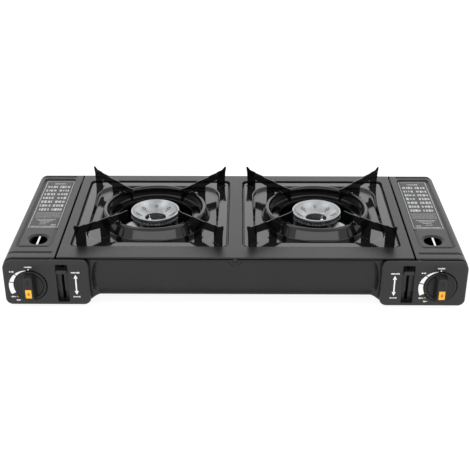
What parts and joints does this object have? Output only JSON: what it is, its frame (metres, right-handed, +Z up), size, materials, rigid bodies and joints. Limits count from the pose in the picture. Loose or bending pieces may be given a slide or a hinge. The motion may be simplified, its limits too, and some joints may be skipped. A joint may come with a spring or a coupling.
{
  "type": "camping stove",
  "caption": "Portable twin-burner camping stove in a low black casing, with a covered gas cartridge bay, knob and locking lever at each end.",
  "frame": {"origin": "on the ground, at the middle of the overall width and depth", "axes": "+X to the user's right, +Y away from the user towards the rear, +Z up"},
  "size_m": [0.65, 0.305, 0.105],
  "materials": {
    "casing_powder": "black powder coat with a fine texture",
    "panel_black": "black powder coat, satin",
    "enamel_black": "glossy black vitreous enamel",
    "knob_plastic": "moulded plastic, fine spark texture",
    "mark_orange": "moulded orange insert",
    "zinc_steel": "zinc-plated pressed steel",
    "cast_aluminium": "die-cast aluminium, satin",
    "brass": "turned brass",
    "copper_tube": "drawn copper tube",
    "rubber_black": "moulded rubber",
    "ceramic_white": "glazed alumina ceramic",
    "igniter_brown": "moulded phenolic body",
    "lead_silicone": "silicone-sleeved lead"
  },
  "bodies": {
    "casing": {"lower_casing": "casing_powder", "top_plate": "casing_powder", "feet": "rubber_black", "casing_screws": "zinc_steel", "front_screw": "panel_black", "left_partition": "casing_powder", "right_partition": "casing_powder", "left_control_panel": "panel_black", "right_control_panel": "panel_black", "left_panel_screws": "zinc_steel", "right_panel_screws": "zinc_steel", "left_hinge_brackets": "zinc_steel", "right_hinge_brackets": "zinc_steel", "left_cartridge_rails": "zinc_steel", "right_cartridge_rails": "zinc_steel", "left_regulator": "cast_aluminium", "right_regulator": "cast_aluminium", "left_igniter": "igniter_brown", "right_igniter": "igniter_brown", "left_ignition_lead": "lead_silicone", "right_ignition_lead": "lead_silicone", "left_spark_electrode": "ceramic_white", "right_spark_electrode": "ceramic_white", "left_gas_pipe": "copper_tube", "right_gas_pipe": "copper_tube", "left_jet": "brass", "right_jet": "brass", "left_burner_body": "cast_aluminium", "right_burner_body": "cast_aluminium", "left_burner_cap": "cast_aluminium", "right_burner_cap": "cast_aluminium", "left_burner_bracket": "zinc_steel", "right_burner_bracket": "zinc_steel", "left_burner_screws": "zinc_steel", "right_burner_screws": "zinc_steel", "left_lever_pivot": "zinc_steel", "right_lever_pivot": "zinc_steel", "left_slide_studs": "zinc_steel", "right_slide_studs": "zinc_steel"},
    "left_cover_body": {"left_cover": "casing_powder"},
    "left_knob_body": {"left_knob": "knob_plastic", "left_knob_mark": "mark_orange", "left_knob_spindle": "zinc_steel"},
    "left_lever_body": {"left_lever_arm": "zinc_steel", "left_lever_cap": "knob_plastic"},
    "left_pusher_body": {"left_pusher": "zinc_steel"},
    "left_support_body": {"left_support_tray": "enamel_black", "left_support_fins": "enamel_black"},
    "right_cover_body": {"right_cover": "casing_powder"},
    "right_knob_body": {"right_knob": "knob_plastic", "right_knob_mark": "mark_orange", "right_knob_spindle": "zinc_steel"},
    "right_lever_body": {"right_lever_arm": "zinc_steel", "right_lever_cap": "knob_plastic"},
    "right_pusher_body": {"right_pusher": "zinc_steel"},
    "right_support_body": {"right_support_tray": "enamel_black", "right_support_fins": "enamel_black"}
  },
  "joints": [
    {"name": "left_cover_hinge", "type": "hinge", "parent": "casing", "child": "left_cover_body", "pos_m": [-0.2565, 0.0125, 0.07], "axis": [0, 1, 0], "range_deg": [0, 90]},
    {"name": "left_knob_turn", "type": "hinge", "parent": "casing", "child": "left_knob_body", "pos_m": [-0.2873, -0.1365, 0.0355], "axis": [0, -1, 0], "range_deg": [0, 150]},
    {"name": "left_lever_turn", "type": "hinge", "parent": "casing", "child": "left_lever_body", "pos_m": [-0.242, -0.0335, 0.0405], "axis": [1, 0, 0], "range_deg": [0, 19.56]},
    {"name": "left_pusher_slide", "type": "slide", "parent": "casing", "child": "left_pusher_body", "axis": [0, -1, 0], "range_m": [0, 0.00578]},
    {"name": "left_support_lift", "type": "slide", "parent": "casing", "child": "left_support_body", "axis": [0, 0, 1], "range_m": [0, 0.06]},
    {"name": "right_cover_hinge", "type": "hinge", "parent": "casing", "child": "right_cover_body", "pos_m": [0.2565, 0.0125, 0.07], "axis": [0, -1, 0], "range_deg": [0, 90]},
    {"name": "right_knob_turn", "type": "hinge", "parent": "casing", "child": "right_knob_body", "pos_m": [0.2873, -0.1365, 0.0355], "axis": [0, -1, 0], "range_deg": [0, 150]},
    {"name": "right_lever_turn", "type": "hinge", "parent": "casing", "child": "right_lever_body", "pos_m": [0.242, -0.0335, 0.0405], "axis": [1, 0, 0], "range_deg": [0, 19.56]},
    {"name": "right_pusher_slide", "type": "slide", "parent": "casing", "child": "right_pusher_body", "axis": [0, -1, 0], "range_m": [0, 0.00578]},
    {"name": "right_support_lift", "type": "slide", "parent": "casing", "child": "right_support_body", "axis": [0, 0, 1], "range_m": [0, 0.06]}
  ],
  "couplings": [
    {"joint": "left_pusher_slide", "follows": "left_lever_turn", "m_per_rad": 0.016916},
    {"joint": "right_pusher_slide", "follows": "right_lever_turn", "m_per_rad": 0.016916}
  ]
}
